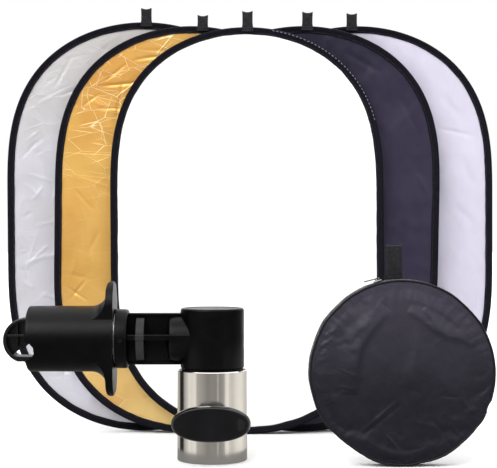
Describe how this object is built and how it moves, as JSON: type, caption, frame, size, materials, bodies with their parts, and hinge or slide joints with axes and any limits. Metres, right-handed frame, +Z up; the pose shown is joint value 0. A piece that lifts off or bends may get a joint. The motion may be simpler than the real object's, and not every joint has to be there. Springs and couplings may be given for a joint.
{
  "type": "collapsible reflector kit",
  "caption": "Oval sprung reflector discs fanned side by side, with the spring clip that holds one on a light stand and a round zipped carry bag.",
  "frame": {"origin": "middle of the kit's footprint on the floor it stands on", "axes": "+Z up; -Y towards the viewer, the side that the disc faces, clip and bag show; +X to the viewer's right, from the clip's hook to the bag"},
  "size_m": [1.0866, 0.5228, 0.941],
  "materials": {
    "diffuser_face": "matt white translucent woven diffusion cloth",
    "gold_face": "gold foil-coated cloth, crinkled, low gloss",
    "black_face": "black-violet matt nylon",
    "silver_face": "silver foil-coated cloth, crinkled, low gloss",
    "white_face": "opaque cool white nylon",
    "rim_binding": "navy-black woven binding tape, stitched",
    "webbing": "black ribbed webbing",
    "spring_steel": "bright drawn steel",
    "brushed_steel": "bright turned steel, brushed round",
    "black_moulding": "black glass-filled nylon, fine satin texture",
    "gloss_moulding": "smooth glossy black plastic",
    "white_nylon": "natural nylon",
    "brass": "plain turned brass",
    "bag_nylon": "charcoal coated nylon taffeta with soft sheen",
    "zip_metal": "black enamelled zinc"
  },
  "bodies": {
    "stand_socket": {"socket_tube": "brushed_steel", "socket_core": "black_moulding", "screw_bush": "brass", "friction_washer": "white_nylon", "pivot_bolt": "spring_steel", "pivot_nut": "spring_steel"},
    "swivel_arm": {"swivel_arm": "black_moulding", "head_cap": "black_moulding", "shank_pin": "spring_steel", "hook": "black_moulding", "spring_washer": "spring_steel", "return_spring": "spring_steel"},
    "trigger_sleeve": {"sleeve": "black_moulding"},
    "pressure_pad": {"pressure_pad": "white_nylon"},
    "thumb_screw": {"screw_stem": "spring_steel", "screw_knob": "gloss_moulding"},
    "diffuser_disc": {"diffuser_face_cloth": "diffuser_face", "diffuser_binding": "rim_binding", "diffuser_hang_loop": "webbing", "diffuser_spring_hoop": "spring_steel", "diffuser_hoop_ferrule": "spring_steel"},
    "gold_disc": {"gold_face_cloth": "gold_face", "gold_binding": "rim_binding", "gold_hang_loop": "webbing", "gold_spring_hoop": "spring_steel", "gold_hoop_ferrule": "spring_steel"},
    "black_disc": {"black_face_cloth": "black_face", "black_binding": "rim_binding", "black_hang_loop": "webbing", "black_spring_hoop": "spring_steel", "black_hoop_ferrule": "spring_steel"},
    "silver_disc": {"silver_face_cloth": "silver_face", "silver_binding": "rim_binding", "silver_hang_loop": "webbing", "silver_spring_hoop": "spring_steel", "silver_hoop_ferrule": "spring_steel"},
    "white_disc": {"white_face_cloth": "white_face", "white_binding": "rim_binding", "white_hang_loop": "webbing", "white_spring_hoop": "spring_steel", "white_hoop_ferrule": "spring_steel"},
    "bag": {"bag_front_panel": "bag_nylon", "bag_back_panel": "bag_nylon", "bag_front_piping": "bag_nylon", "bag_back_piping": "bag_nylon", "bag_gusset": "bag_nylon", "bag_zip": "webbing", "bag_hang_loop": "webbing"},
    "zip_slider": {"zip_slider": "zip_metal"},
    "zip_pull": {"zip_pull": "zip_metal"}
  },
  "joints": [
    {"name": "head_swivel", "type": "hinge", "parent": "stand_socket", "child": "swivel_arm", "pos_m": [-0.07528, -0.1494, 0.235], "axis": [0, 0, 1], "range_deg": [-30, 120]},
    {"name": "sleeve_pull", "type": "slide", "parent": "swivel_arm", "child": "trigger_sleeve", "axis": [1, 0, 0], "range_m": [0, 0.048], "stiffness_N_per_m": 500, "springref_m": -0.03, "deforming": ["return_spring"]},
    {"name": "pad_travel", "type": "slide", "parent": "stand_socket", "child": "pressure_pad", "axis": [0, 1, 0], "range_m": [0, 0.0061]},
    {"name": "thumb_screw_turn", "type": "hinge", "parent": "pressure_pad", "child": "thumb_screw", "pos_m": [-0.07528, -0.2494, 0.081], "axis": [0, 1, 0], "range_deg": [0, 720]},
    {"name": "diffuser_disc_lift", "type": "slide", "parent": "stand_socket", "child": "diffuser_disc", "axis": [0, 0, 1], "range_m": [0, 0.95]},
    {"name": "gold_disc_lift", "type": "slide", "parent": "stand_socket", "child": "gold_disc", "axis": [0, 0, 1], "range_m": [0, 0.95]},
    {"name": "black_disc_lift", "type": "slide", "parent": "stand_socket", "child": "black_disc", "axis": [0, 0, 1], "range_m": [0, 0.95]},
    {"name": "silver_disc_lift", "type": "slide", "parent": "stand_socket", "child": "silver_disc", "axis": [0, 0, 1], "range_m": [0, 0.95]},
    {"name": "white_disc_lift", "type": "slide", "parent": "stand_socket", "child": "white_disc", "axis": [0, 0, 1], "range_m": [0, 0.95]},
    {"name": "bag_lift", "type": "slide", "parent": "stand_socket", "child": "bag", "axis": [0, 0, 1], "range_m": [0, 0.45]},
    {"name": "zip_travel", "type": "hinge", "parent": "bag", "child": "zip_slider", "pos_m": [0.28532, -0.2194, 0.1767], "axis": [0, 1, 0], "range_deg": [0, 120]},
    {"name": "zip_pull_flip", "type": "hinge", "parent": "zip_slider", "child": "zip_pull", "pos_m": [0.23938, -0.2194, 0.35436], "axis": [0, 1, 0], "range_deg": [0, 175]}
  ],
  "couplings": [
    {"joint": "pad_travel", "follows": "thumb_screw_turn", "m_per_rad": 0.00047746}
  ]
}
